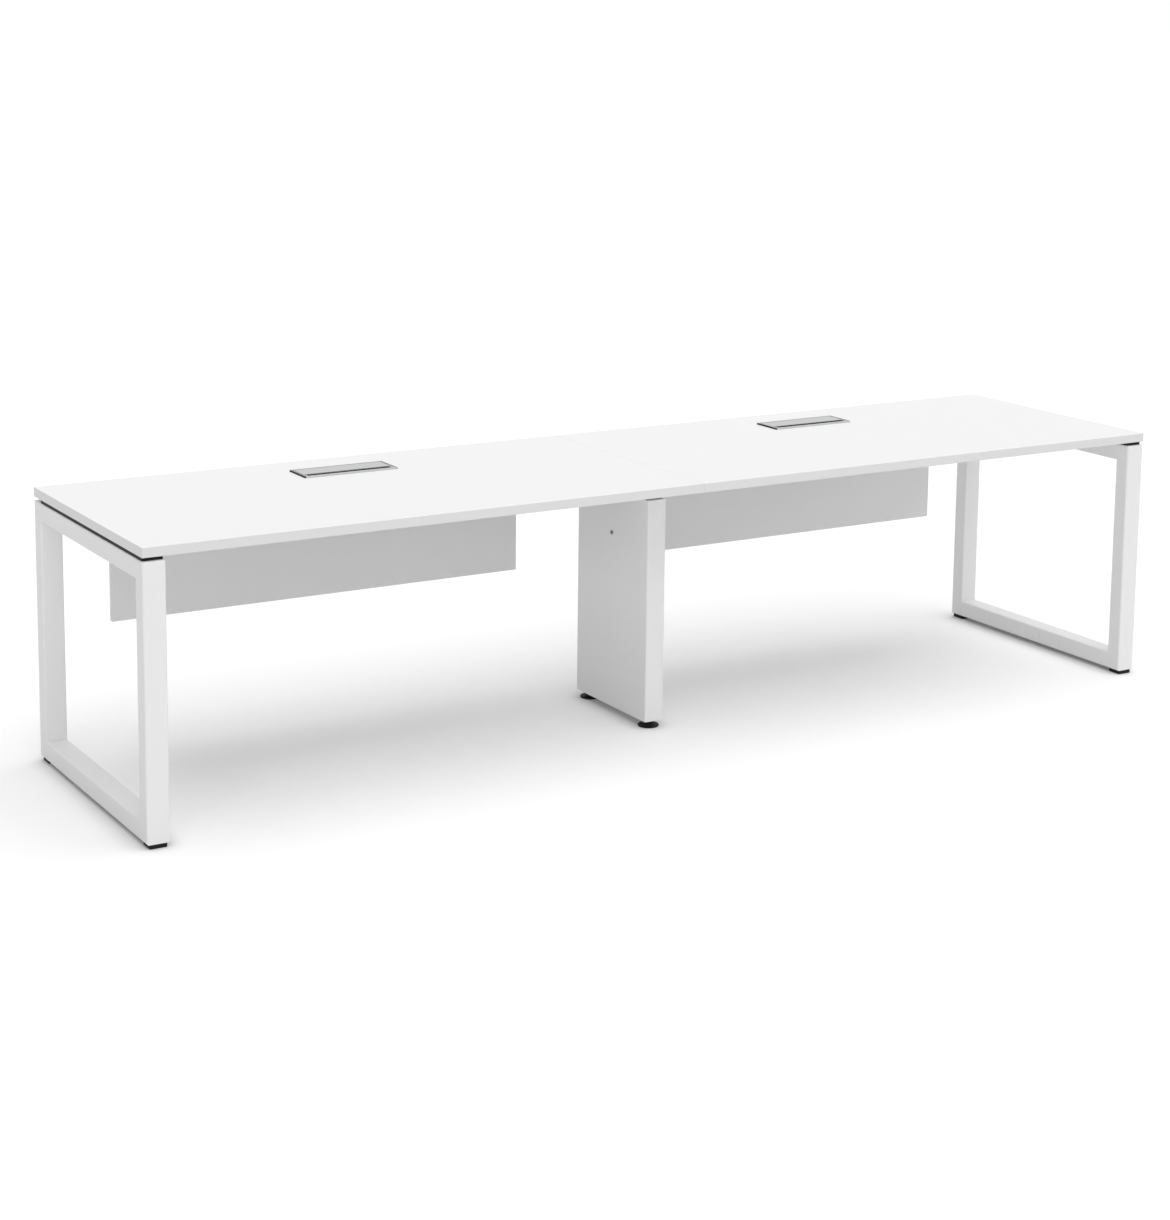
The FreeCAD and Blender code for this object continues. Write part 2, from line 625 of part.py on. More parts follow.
def make_fasteners():
    """Bolts, nuts and screws, one node for each kind and place."""
    bolts, nuts, long_screws, wood_screws = [], [], [], []
    grip = PLATE_THICK + TUBE_WALL
    for side in SIDES.values():
        outwards = Vector(side, 0, 0)
        for place in plate_bolt_places(side):
            head = hexagon(M8_FLATS, place, outwards * -1, M8_HEAD)
            bolts.append(screw(head, M8_RADIUS, place, outwards, grip + M8_NUT))
            seat = place + outwards * grip
            nut = hexagon(M8_FLATS, seat, outwards, M8_NUT)
            nuts.append(nut.cut(rod(M8_RADIUS, seat, outwards, M8_NUT)))
        for place in long_screw_places(side):
            head = dome(M6_HEAD_RADIUS, place, DOWN, M6_HEAD)
            long_screws.append(screw(head, M6_RADIUS, place, UP, TUBE_DEEP + SHADOW_GAP + M6_BITE))
        for place in bracket_top_places(side) + joiner_screw_places(side):
            head = dome(WOOD_HEAD_RADIUS, place, DOWN, WOOD_HEAD)
            wood_screws.append(screw(head, WOOD_RADIUS, place, UP, BRACKET_THICK + WOOD_BITE))
        for place in bracket_panel_places(side):
            head = dome(WOOD_HEAD_RADIUS, place, Vector(0, -1, 0), WOOD_HEAD)
            wood_screws.append(screw(head, WOOD_RADIUS, place, Vector(0, 1, 0), BRACKET_THICK + WOOD_BITE))
    save("beam_bolts", bolts)
    save("beam_weld_nuts", nuts)
    save("worktop_screws", long_screws)
    save("wood_screws", wood_screws)

    saddle_bolts = []
    for place in saddle_bolt_places():
        head = hexagon(M8_FLATS, place, UP, M8_HEAD)
        saddle_bolts.append(screw(head, M8_RADIUS, place, DOWN, BEAM_WALL + SADDLE_THICK))
    save("saddle_bolts", saddle_bolts)


os.makedirs("parts", exist_ok=True)
for side_name, side_sign in SIDES.items():
    make_worktop(side_name, side_sign)
    make_loop_leg(side_name, side_sign)
    make_modesty(side_name, side_sign)
    make_outlet(side_name, side_sign)
    for row_name, row_sign in ROWS.items():
        make_beam(row_name + "_beam_" + side_name, side_sign, row_sign)
        make_square_foot(row_name + "_" + side_name, side_sign * LEG_X, row_sign * POST_Y)
for row_name, row_sign in ROWS.items():
    make_disc_foot(row_name + "_centre", BOX_Y + row_sign * DISC_SPAN / 2)
make_centre_leg()
make_saddle()
make_beam_spacers()
make_joiners()
make_fasteners()
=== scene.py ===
"""Looks of a white two-seat linear office desk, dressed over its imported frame."""
import logging
import math
import random
from abc import ABC, abstractmethod
from dataclasses import dataclass
from enum import Enum
from typing import Callable, Dict, List, Optional, Sequence, Tuple, Union

import bmesh
import bpy
from mathutils import Matrix, Vector


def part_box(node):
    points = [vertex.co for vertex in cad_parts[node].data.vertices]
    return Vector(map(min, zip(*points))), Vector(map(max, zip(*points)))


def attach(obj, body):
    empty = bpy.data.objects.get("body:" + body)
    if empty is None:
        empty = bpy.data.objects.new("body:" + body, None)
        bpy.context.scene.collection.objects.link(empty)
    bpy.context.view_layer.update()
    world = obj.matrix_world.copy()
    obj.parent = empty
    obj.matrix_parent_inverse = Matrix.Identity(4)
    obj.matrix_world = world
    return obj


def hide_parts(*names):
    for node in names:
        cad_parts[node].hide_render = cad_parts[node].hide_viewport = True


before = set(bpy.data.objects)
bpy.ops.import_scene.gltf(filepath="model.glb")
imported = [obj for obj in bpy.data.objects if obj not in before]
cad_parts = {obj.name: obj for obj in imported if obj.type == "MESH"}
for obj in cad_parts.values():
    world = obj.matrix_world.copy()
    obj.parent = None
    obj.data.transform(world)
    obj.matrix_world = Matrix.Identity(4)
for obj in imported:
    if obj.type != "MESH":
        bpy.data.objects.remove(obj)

LOG = logging.getLogger("desk")
MM = 0.001
RIGHT_ANGLE = math.pi / 2
# Edges that turn by more than this stay sharp on a smooth piece
CREASE = math.radians(32.0)
# Corners of the frame's meshes closer than this are one corner
SAME_POINT = 0.001 * MM
ROUNDING = 1e-9
# A spanner hexagon's flat top ends at this share of its size across flats, in a cone of this slope
CROWN_SHARE = 0.47
CHAMFER_SLOPE = math.tan(math.radians(30.0))
# Sockets of the Mix node that carry colours
MIX_BASE = 6
MIX_OTHER = 7
MIX_RESULT = 2
Number = Union[int, float]
Colour = Tuple[float, float, float]
Stretch = Tuple[float, float, float]
Limits = Tuple[float, float]
Outline = Callable[[float], float]


class Side(Enum):
    """The two seats, as the person at the desk sees them."""

    LEFT = "left"
    RIGHT = "right"


class Row(Enum):
    """The two rows of beams under the worktop."""

    FRONT = "front"
    REAR = "rear"


class Foot(Enum):
    """The six levelling feet."""

    FRONT_LEFT = "front_left"
    REAR_LEFT = "rear_left"
    FRONT_RIGHT = "front_right"
    REAR_RIGHT = "rear_right"
    FRONT_CENTRE = "front_centre"
    REAR_CENTRE = "rear_centre"

    def has_collar(self) -> bool:
        """Whether the foot is one of the two discs under the centre leg."""
        return self in (Foot.FRONT_CENTRE, Foot.REAR_CENTRE)


class Wire:
    """One output of a shader node, which takes part in sums and products."""

    def __init__(self, sheet: "NodeSheet", socket: bpy.types.NodeSocket) -> None:
        """Keeps the sheet that the output is on and the socket itself."""
        self.sheet = sheet
        self.socket = socket

    def __add__(self, other: "Operand") -> "Wire":
        """The sum of two values."""
        return self.sheet.math("ADD", self, other)

    def __sub__(self, other: "Operand") -> "Wire":
        """This value less another."""
        return self.sheet.math("SUBTRACT", self, other)

    def __rsub__(self, other: "Operand") -> "Wire":
        """Another value less this one."""
        return self.sheet.math("SUBTRACT", other, self)

    def __mul__(self, other: "Operand") -> "Wire":
        """The product of two values."""
        return self.sheet.math("MULTIPLY", self, other)

    __radd__ = __add__
    __rmul__ = __mul__


Operand = Union[Wire, Number]
Value = Union[Wire, Number, Sequence[float]]
Sockets = Dict[str, Value]


class NodeSheet:
    """A node tree that is filled from Python expressions."""

    def __init__(self, tree: bpy.types.NodeTree) -> None:
        """Empties the tree."""
        self.tree = tree
        self.tree.nodes.clear()

    def node(self, kind: str, settings: Optional[Dict] = None, inputs: Optional[Dict] = None,
             output: Union[int, str] = 0) -> Wire:
        """Adds one node.

        Args:
            kind: the node's type name.
            settings: attributes that are set first.
            inputs: values or wires, by socket name or number.
            output: which output is wanted.

        Returns:
            The chosen output.
        """
        made = self.tree.nodes.new(kind)
        for name, value in (settings or {}).items():
            setattr(made, name, value)
        for name, value in (inputs or {}).items():
            self.plug(made.inputs[name], value)
        return Wire(self, made.outputs[output])

    def plug(self, socket: bpy.types.NodeSocket, value: Value) -> None:
        """Links a wire to a socket, or sets the socket's own value."""
        if isinstance(value, Wire):
            self.tree.links.new(value.socket, socket)
        else:
            socket.default_value = value

    def math(self, operation: str, left: Operand, right: Operand) -> Wire:
        """One Math node."""
        return self.node("ShaderNodeMath", {"operation": operation}, {0: left, 1: right})

    def looked_at(self) -> Wire:
        """1 for a ray from the camera, or passed on by a shiny or clear surface, and 0 for other light."""
        camera, glossy, clear = (self.node("ShaderNodeLightPath", output=name)
                                 for name in ("Is Camera Ray", "Is Glossy Ray", "Is Transmission Ray"))
        return self.math("MAXIMUM", self.math("MAXIMUM", camera, glossy), clear)


@dataclass(frozen=True)
class Noise:
    """A smooth pattern: its swells to the metre, its stretch along each axis and its octaves."""

    per_metre: float
    stretch: Stretch = (1.0, 1.0, 1.0)
    detail: float = 2.0


@dataclass(frozen=True)
class Relief:
    """How a pattern bends the light: the full swing of its height in metres, and its strength."""

    depth: float
    strength: float


class FinishSheet(NodeSheet):
    """The nodes of one material, which all feed one principled shader."""

    def __init__(self, name: str) -> None:
        """Starts an empty material with its shader and output."""
        self.material = bpy.data.materials.new(name)
        self.material.use_nodes = True
        super().__init__(self.material.node_tree)
        self.shader = self.tree.nodes.new("ShaderNodeBsdfPrincipled")
        output = self.tree.nodes.new("ShaderNodeOutputMaterial")
        self.tree.links.new(self.shader.outputs["BSDF"], output.inputs["Surface"])

    def feed(self, values: Sockets) -> None:
        """Sets or links the shader's own sockets, by name."""
        for name, value in values.items():
            self.plug(self.shader.inputs[name], value)

    def where(self) -> Wire:
        """The point on the object, in metres."""
        return self.node("ShaderNodeTexCoord", output="Object")

    def rise(self, vector: Wire) -> Wire:
        """The upward part of a vector."""
        return self.node("ShaderNodeSeparateXYZ", {}, {0: vector}, "Z")

    def height(self) -> Wire:
        """The point's height above the floor, in metres."""
        return self.rise(self.where())

    def upward(self) -> Wire:
        """How far the surface looks up: 1 where it is level, 0 where it stands upright."""
        return self.rise(self.node("ShaderNodeNewGeometry", output="Normal"))

    def noise(self, pattern: Noise) -> Wire:
        """A pattern's value, between 0 and 1."""
        place = self.node("ShaderNodeVectorMath", {"operation": "MULTIPLY"},
                          {0: self.where(), 1: pattern.stretch})
        return self.node("ShaderNodeTexNoise", {"noise_dimensions": "3D"},
                         {"Vector": place, "Scale": pattern.per_metre, "Detail": pattern.detail}, "Fac")

    def ease(self, value: Wire, limits: Limits) -> Wire:
        """A smooth step from 0 at the first limit to 1 at the second, which may be the lower one."""
        return self.node("ShaderNodeMapRange", {"interpolation_type": "SMOOTHSTEP"},
                         {"Value": value, "From Min": limits[0], "From Max": limits[1]})

    def mingle(self, first: Wire, second: Wire, part: float) -> Wire:
        """Two patterns in one, of which the first makes up the given part."""
        return first * part + second * (1.0 - part)

    def blend(self, share: Operand, base: Union[Wire, Colour], other: Union[Wire, Colour]) -> Wire:
        """A colour part of the way from one to another."""
        low, high = (end if isinstance(end, Wire) else (*end, 1.0) for end in (base, other))
        return self.node("ShaderNodeMix", {"data_type": "RGBA"},
                         {"Factor": share, MIX_BASE: low, MIX_OTHER: high}, MIX_RESULT)

    def bump(self, height: Wire, relief: Relief) -> Wire:
        """A normal that follows a pattern's height."""
        return self.node("ShaderNodeBump", {},
                         {"Height": height, "Distance": relief.depth, "Strength": relief.strength})


def grey(level: float) -> Colour:
    """A neutral colour."""
    return (level, level, level)


@dataclass(frozen=True)
class Finish(ABC):
    """A surface, from which one material is made."""

    name: str

    def material(self) -> bpy.types.Material:
        """Builds the material."""
        sheet = FinishSheet(self.name)
        sheet.feed(self.sockets(sheet))
        return sheet.material

    @abstractmethod
    def sockets(self, sheet: FinishSheet) -> Sockets:
        """What goes into the shader's sockets."""


@dataclass(frozen=True)
class WhiteBoard(Finish):
    """White melamine board with a fine pearl grain."""

    face: float
    shade: float
    grain: Noise = Noise(1400.0, detail=3.0)
    cloud: Noise = Noise(3.0, detail=4.0)
    grain_part: float = 0.5
    roughness: float = 0.42
    cloud_roughness: float = 0.08
    grain_roughness: float = 0.05
    specular: float = 0.4
    relief: Relief = Relief(0.00006, 0.35)

    def sockets(self, sheet: FinishSheet) -> Sockets:
        """Grain and soft clouds in the colour and the shine, and grain in the relief."""
        grain, cloud = sheet.noise(self.grain), sheet.noise(self.cloud)
        tone = sheet.mingle(grain, cloud, self.grain_part)
        return {
            "Base Color": sheet.blend(tone, grey(self.shade), grey(self.face)),
            "Roughness": self.roughness + cloud * self.cloud_roughness + grain * self.grain_roughness,
            "Specular IOR Level": self.specular,
            "Normal": sheet.bump(grain, self.relief),
        }


@dataclass(frozen=True)
class EdgeBand(Finish):
    """White plastic band, drawn lengthways, with a paler colour painted where it faces up: a painted
    highlight for the light from above.
    """

    colour: float
    # The paler colour painted on upward faces, as a painted highlight
    painted_highlight: float
    darker: float = 0.02
    paler: float = 0.01
    streak: Noise = Noise(900.0, stretch=(0.01, 0.01, 1.0))
    cloud: Noise = Noise(8.0)
    streak_part: float = 0.6
    # How far a face must look up before the painted highlight starts and is full
    painted_highlight_tilt: Limits = (0.55, 0.9)
    roughness: float = 0.34
    streak_roughness: float = 0.1
    relief: Relief = Relief(0.00004, 0.2)

    def sockets(self, sheet: FinishSheet) -> Sockets:
        """Streaks along the band, and a painted highlight: a paler colour where it looks up."""
        streak, cloud = sheet.noise(self.streak), sheet.noise(self.cloud)
        tone = sheet.mingle(streak, cloud, self.streak_part)
        drawn = sheet.blend(tone, grey(self.colour - self.darker), grey(self.colour + self.paler))
        # Painted highlight: faces that look up take the paler colour, standing in for light from above
        upward = sheet.ease(sheet.upward(), self.painted_highlight_tilt)
        return {
            "Base Color": sheet.blend(upward, drawn, grey(self.painted_highlight)),
            "Roughness": self.roughness + streak * self.streak_roughness,
            "Normal": sheet.bump(streak, self.relief),
        }


@dataclass(frozen=True)
class PowderCoat(Finish):
    """Baked powder coat with a fine orange peel, scuffed a little near the floor."""

    colour: float
    scuff: float
    darkest: float = 0.985
    palest: float = 1.01
    peel: Noise = Noise(420.0)
    fine_peel: Noise = Noise(2100.0, detail=1.0)
    peel_part: float = 0.7
    cloud: Noise = Noise(5.0, detail=3.0)
    marks: Noise = Noise(70.0, stretch=(1.0, 1.0, 0.35), detail=6.0)
    marked: Limits = (0.62, 0.72)
    scuffed_heights: Limits = (0.075, 0.0)
    scuff_part: float = 0.5
    roughness: float = 0.40
    cloud_roughness: float = 0.08
    scuff_roughness: float = 0.15
    specular: float = 0.45
    relief: Relief = Relief(0.00008, 0.25)

    def sockets(self, sheet: FinishSheet) -> Sockets:
        """Clouds in the coat, scuffs over it near the floor, and orange peel in the relief."""
        peel, fine = sheet.noise(self.peel), sheet.noise(self.fine_peel)
        cloud, marks = sheet.noise(self.cloud), sheet.noise(self.marks)
        low = sheet.ease(sheet.height(), self.scuffed_heights)
        worn = sheet.ease(marks, self.marked) * low
        coat = sheet.blend(cloud, grey(self.colour * self.darkest), grey(self.colour * self.palest))
        return {
            "Base Color": sheet.blend(worn * self.scuff_part, coat, grey(self.scuff)),
            "Roughness": self.roughness + cloud * self.cloud_roughness + worn * self.scuff_roughness,
            "Specular IOR Level": self.specular,
            "Normal": sheet.bump(sheet.mingle(peel, fine, self.peel_part), self.relief),
        }


@dataclass(frozen=True)
class MouldedPlastic(Finish):
    """Black moulded plastic with a fine spark-eroded texture and pale scuffs."""

    colour: float
    scuff: float = 0.05
    spark: Noise = Noise(2600.0)
    marks: Noise = Noise(160.0, stretch=(1.0, 1.0, 0.3), detail=6.0)
    marked: Limits = (0.60, 0.75)
    scuff_part: float = 0.35
    roughness: float = 0.5
    spark_roughness: float = 0.2
    specular: float = 0.22
    relief: Relief = Relief(0.00006, 0.4)

    def sockets(self, sheet: FinishSheet) -> Sockets:
        """Scuffs in the colour, and the eroded texture in the shine and the relief."""
        spark = sheet.noise(self.spark)
        worn = sheet.ease(sheet.noise(self.marks), self.marked)
        return {
            "Base Color": sheet.blend(worn * self.scuff_part, grey(self.colour), grey(self.scuff)),
            "Roughness": self.roughness + spark * self.spark_roughness,
            "Specular IOR Level": self.specular,
            "Normal": sheet.bump(spark, self.relief),
        }


@dataclass(frozen=True)
class PlatedSteel(Finish):
    """Zinc-plated steel with a slightly clouded shine."""

    colour: Colour
    roughness: float
    dullest: float = 0.82
    metallic: float = 1.0
    cloud: Noise = Noise(220.0, detail=4.0)
    grain: Noise = Noise(3000.0)
    cloud_roughness: float = 0.12
    grain_roughness: float = 0.05
    relief: Relief = Relief(0.00003, 0.2)

    def sockets(self, sheet: FinishSheet) -> Sockets:
        """Clouds in the colour and the shine, and a fine grain in the relief."""
        cloud, grain = sheet.noise(self.cloud), sheet.noise(self.grain)
        dull = tuple(channel * self.dullest for channel in self.colour)
        return {
            "Base Color": sheet.blend(cloud, dull, self.colour),
            "Metallic": self.metallic,
            "Roughness": self.roughness + cloud * self.cloud_roughness + grain * self.grain_roughness,
            "Normal": sheet.bump(grain, self.relief),
        }


@dataclass(frozen=True)
class AnodisedAluminium(Finish):
    """Satin anodised aluminium, brushed along the desk."""

    pale: Colour
    dark: Colour
    metallic: float = 0.9
    streak: Noise = Noise(2400.0, stretch=(0.012, 1.0, 1.0), detail=3.0)
    broad: Noise = Noise(240.0, stretch=(0.02, 1.0, 1.0))
    streak_part: float = 0.6
    roughness: float = 0.36
    streak_roughness: float = 0.16
    relief: Relief = Relief(0.00003, 0.3)

    def sockets(self, sheet: FinishSheet) -> Sockets:
        """Fine and broad streaks in the colour, and fine ones in the shine and the relief."""
        streak, broad = sheet.noise(self.streak), sheet.noise(self.broad)
        tone = sheet.mingle(streak, broad, self.streak_part)
        return {
            "Base Color": sheet.blend(tone, self.dark, self.pale),
            "Metallic": self.metallic,
            "Roughness": self.roughness + streak * self.streak_roughness,
            "Normal": sheet.bump(streak, self.relief),
        }


@dataclass(frozen=True)
class Bristle(Finish):
    """Black nylon hair."""

    dark: float
    pale: float
    strand: Noise = Noise(1500.0, stretch=(1.0, 0.05, 1.0))
    roughness: float = 0.5
    strand_roughness: float = 0.2
    specular: float = 0.2

    def sockets(self, sheet: FinishSheet) -> Sockets:
        """Strands in the colour and the shine."""
        strand = sheet.noise(self.strand)
        return {
            "Base Color": sheet.blend(strand, grey(self.dark), grey(self.pale)),
            "Roughness": self.roughness + strand * self.strand_roughness,
            "Specular IOR Level": self.specular,
        }


class FinishCard:
    """Every finish of the desk, built once."""

    def __init__(self) -> None:
        """Builds the materials."""
        self.board = WhiteBoard("white_board", face=0.875, shade=0.855).material()
        # A greyer copy of the white board for the modesty panels: its darker tone is painted shade under the
        # worktop
        self.panel_board_painted_shade = WhiteBoard("panel_board_painted_shade", face=0.82, shade=0.80).material()
        # The edge band's upward faces get a painted highlight
        self.edge = EdgeBand("white_edge", colour=0.745, painted_highlight=0.868).material()
        self.white_coat = PowderCoat("white_coat", colour=0.845, scuff=0.55).material()
        self.black_coat = PowderCoat("black_coat", colour=0.010, scuff=0.06).material()
        self.spacer = MouldedPlastic("black_spacer", colour=0.008).material()
        self.foot = MouldedPlastic("foot_plastic", colour=0.006).material()
        self.zinc = PlatedSteel("zinc_steel", colour=(0.62, 0.63, 0.64), roughness=0.26).material()
        self.dark_zinc = PlatedSteel("dark_zinc", colour=(0.23, 0.23, 0.24), roughness=0.34).material()
        self.aluminium = AnodisedAluminium("anodised", pale=(0.63, 0.634, 0.638),
                                           dark=(0.53, 0.534, 0.538)).material()
        self.hair = Bristle("brush_hair", dark=0.004, pale=0.014).material()


def paint(node: str, finish: bpy.types.Material) -> None:
    """Gives a frame node its finish.

    Args:
        node: the node's name.
        finish: the material for all its faces.
    """
    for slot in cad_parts[node].material_slots:
        slot.material = finish
    LOG.info("dressed %s with %s", node, finish.name)


def new_piece(name: str, form: bmesh.types.BMesh, finish: bpy.types.Material) -> bpy.types.Object:
    """Turns a finished form into a scene piece.

    Args:
        name: the piece's name.
        form: its mesh, which is freed.
        finish: its material.

    Returns:
        The new object, linked to the scene.
    """
    mesh = bpy.data.meshes.new(name)
    form.to_mesh(mesh)
    form.free()
    mesh.materials.append(finish)
    mesh.shade_smooth()
    mesh.set_sharp_from_angle(angle=CREASE)
    piece = bpy.data.objects.new(name, mesh)
    bpy.context.scene.collection.objects.link(piece)
    return piece


def stand_in(piece: bpy.types.Object, node: str, body: str) -> None:
    """Lets a piece ride a body and stand for a frame node.

    Args:
        piece: the dressed piece.
        node: the frame node that it replaces.
        body: the body that carries it.
    """
    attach(piece, body)
    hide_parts(node)
    LOG.info("made %s in place of %s on %s", piece.name, node, body)


def round_outline(radius: float) -> Outline:
    """A circle, as a distance for each angle."""
    return lambda angle: radius


def hex_outline(flats: float) -> Outline:
    """A hexagon with a corner at angle 0, as a distance for each angle."""
    sixth = math.pi / 3
    return lambda angle: flats / 2 / math.cos(angle % sixth - sixth / 2)


def cross_outline(reach: float, half_width: float) -> Outline:
    """A cross with an arm at angle 0, as a distance for each angle."""

    def distance(angle: float) -> float:
        """The distance to the cross's edge."""
        turn = abs((angle + RIGHT_ANGLE / 2) % RIGHT_ANGLE - RIGHT_ANGLE / 2)
        along, across = math.cos(turn), math.sin(turn)
        at_end = reach * across <= half_width * along + ROUNDING
        return reach / along if at_end else half_width / across

    return distance


def ring(outline: Outline, height: float, sides: int) -> List[Vector]:
    """Points round the Z axis.

    Args:
        outline: the distance from the axis for each angle.
        height: the ring's height.
        sides: how many points it has.

    Returns:
        The points, counter-clockwise from above.
    """
    angles = [math.tau * step / sides for step in range(sides)]
    return [Vector((outline(a) * math.cos(a), outline(a) * math.sin(a), height)) for a in angles]


def chamfer_edge(flats: float, end: float, inwards: float, sides: int) -> List[Vector]:
    """The edge where a hexagon's sides meet the cone that takes off its corners.

    Args:
        flats: the hexagon's size across flats.
        end: the height of the hexagon's end.
        inwards: -1 where that end is the top, or 1 where it is the bottom.
        sides: how many points the edge has.

    Returns:
        The points, counter-clockwise from above.
    """
    crown = flats * CROWN_SHARE
    edge = []
    for point in ring(hex_outline(flats), 0.0, sides):
        drop = max(0.0, (point.xy.length - crown) * CHAMFER_SLOPE)
        edge.append(point + Vector((0.0, 0.0, end + inwards * drop)))
    return edge


def skin(form: bmesh.types.BMesh, rings: Sequence[Sequence[Vector]], place: Matrix = Matrix()) -> None:
    """Joins rings of points into one closed body.

    Args:
        form: the mesh that takes the faces.
        rings: the rings in order from low to high, with one count of points each.
        place: where the body goes.
    """
    rows = [[form.verts.new(place @ point) for point in points] for points in rings]
    count = len(rows[0])
    for low, high in zip(rows, rows[1:]):
        for index in range(count):
            after = (index + 1) % count
            form.faces.new((low[index], low[after], high[after], high[index]))
    form.faces.new(tuple(reversed(rows[0])))
    form.faces.new(rows[-1])


@dataclass(frozen=True)
class Seat:
    """Where one fastener of the frame lies: its head's outer end, the way it looks, and its whole length."""

    end: Vector
    way: Vector
    length: float

    def place(self) -> Matrix:
        """Stands +Z on the way that the head looks, with the origin at the head's outer end."""
        return Matrix.Translation(self.end) @ self.way.to_track_quat("Z", "Y").to_matrix().to_4x4()


def seats_of(node: str) -> List[Seat]:
    """Finds the separate fasteners in a frame node.

    Args:
        node: the node's name.

    Returns:
        One seat for each fastener, whose head is its wider end.
    """
    form = bmesh.new()
    form.from_mesh(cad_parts[node].data)
    bmesh.ops.remove_doubles(form, verts=form.verts, dist=SAME_POINT)
    left, seats = set(form.verts), []
    for start in list(form.verts):
        if start not in left:
            continue
        island, todo = [], [start]
        left.discard(start)
        while todo:
            vert = todo.pop()
            island.append(vert.co.copy())
            for edge in vert.link_edges:
                other = edge.other_vert(vert)
                if other in left:
                    left.discard(other)
                    todo.append(other)
        seats.append(seat_from(island))
    form.free()
    return seats


def seat_from(points: Sequence[Vector]) -> Seat:
    """The seat of one fastener.

    Args:
        points: the corners of its solid.

    Returns:
        Its seat, along the solid's longest side.
    """
    low = Vector([min(point[axis] for point in points) for axis in range(3)])
    high = Vector([max(point[axis] for point in points) for axis in range(3)])
    size, middle = high - low, (low + high) / 2
    axis = max(range(3), key=lambda index: size[index])
    way = Vector([float(index == axis) for index in range(3)])
    quarter = size[axis] / 4

    def spread(level: float) -> float:
        """How far the solid reaches from its axis in the quarter at one end."""
        near = [point - middle for point in points if abs(point[axis] - level) < quarter]
        return max((offset - way * offset.dot(way)).length for offset in near)

    if spread(low[axis]) > spread(high[axis]):
        way = -way
    return Seat(middle + way * (size[axis] / 2), way, size[axis])


class Drive(Enum):
    """The recess that a driver goes into."""

    HEX_SOCKET = "hex socket"
    CROSS = "cross"


@dataclass(frozen=True)
class DomedScrew:
    """A screw with a domed head, its outer end at the origin and its shank along -Z.

    Flat, socket and cross are given as shares of the head's radius, rim and recess as shares of its
    height, and point and pit as shares of the shank's radius.
    """

    head_radius: float
    head_height: float
    shank_radius: float
    drive: Drive
    sides: int = 48
    dome_steps: int = 6
    flat_share: float = 0.62
    socket_share: float = 0.68
    cross_share: float = 0.55
    rim_share: float = 0.22
    recess_share: float = 0.62
    point_share: float = 0.3
    pit_share: float = 0.1
    cross_half_angle: float = math.pi / 12
    pit_depth_factor: float = 1.2

    def recess(self) -> Outline:
        """The outline of the driver's recess."""
        if self.drive is Drive.HEX_SOCKET:
            return hex_outline(self.head_radius * self.socket_share)
        reach = self.head_radius * self.cross_share
        return cross_outline(reach, reach * math.tan(self.cross_half_angle))

    def rings(self, length: float) -> List[List[Vector]]:
        """The screw's rings, from the shank's point up over the head and down into the recess.

        Args:
            length: the whole length, head and shank.

        Returns:
            Rings for one closed body.
        """
        seat, point = -self.head_height, -length
        flat = self.head_radius * self.flat_share
        stations = [
            (self.shank_radius * self.point_share, point),
            (self.shank_radius, point + self.shank_radius),
            (self.shank_radius, seat),
            (self.head_radius, seat),
            (self.head_radius, seat + self.head_height * self.rim_share),
        ]
        for step in range(1, self.dome_steps + 1):
            turn = RIGHT_ANGLE * step / self.dome_steps
            rise = self.rim_share + (1.0 - self.rim_share) * math.sin(turn)
            stations.append((flat + (self.head_radius - flat) * math.cos(turn),
                             seat + self.head_height * rise))
        floor = -self.head_height * self.recess_share
        pit = round_outline(self.shank_radius * self.pit_share)
        rings = [ring(round_outline(radius), height, self.sides) for radius, height in stations]
        rings += [ring(self.recess(), height, self.sides) for height in (0.0, floor)]
        rings.append(ring(pit, floor * self.pit_depth_factor, self.sides))
        return rings


@dataclass(frozen=True)
class HexBolt:
    """A bolt with a chamfered hexagon head, its outer end at the origin and its shank along -Z.

    The washer face is given as a share of the size across flats and of the head's height, and the
    shank's tapered end as shares of the shank's radius.
    """

    flats: float
    head_height: float
    shank_radius: float
    sides: int = 36
    washer_share: float = 0.48
    washer_rise: float = 0.06
    tip_share: float = 0.85
    tip_rise: float = 0.2

    def rings(self, length: float) -> List[List[Vector]]:
        """The bolt's rings, from the shank's end up to the head's chamfered top.

        Args:
            length: the whole length, head and shank.

        Returns:
            Rings for one closed body.
        """
        seat = -self.head_height
        bearing = seat + self.head_height * self.washer_rise
        tip, shank, washer, crown = (round_outline(radius) for radius in (
            self.shank_radius * self.tip_share, self.shank_radius,
            self.flats * self.washer_share, self.flats * CROWN_SHARE))
        stations = [(tip, -length), (shank, -length + self.shank_radius * self.tip_rise), (shank, seat),
                    (washer, seat), (washer, bearing), (hex_outline(self.flats), bearing)]
        rings = [ring(outline, height, self.sides) for outline, height in stations]
        return rings + [chamfer_edge(self.flats, 0.0, -1.0, self.sides), ring(crown, 0.0, self.sides)]


def refit(node: str, kind: Union[DomedScrew, HexBolt], finish: bpy.types.Material) -> None:
    """Puts detailed fasteners in the place of a frame node's plain ones.

    Args:
        node: the node that holds them.
        kind: the fastener's form.
        finish: its material.
    """
    form = bmesh.new()
    for seat in seats_of(node):
        skin(form, kind.rings(seat.length), seat.place())
    stand_in(new_piece(node + "_driven", form, finish), node, "root")


@dataclass
class SubAssembly(ABC):
    """Some pieces of the desk that are built and dressed together."""

    finishes: FinishCard

    def build(self) -> None:
        """Adds nothing where the frame's own solids stand as they are."""

    @abstractmethod
    def dress(self) -> None:
        """Paints the frame's own solids."""


@dataclass
class Worktop(SubAssembly):
    """The two boards with their edge bands and the plates under their seam."""

    def dress(self) -> None:
        """Paints the boards, bands and joining plates."""
        for side in Side:
            paint("worktop_" + side.value, self.finishes.board)
            paint("edge_band_" + side.value, self.finishes.edge)
        paint("joining_plates", self.finishes.zinc)


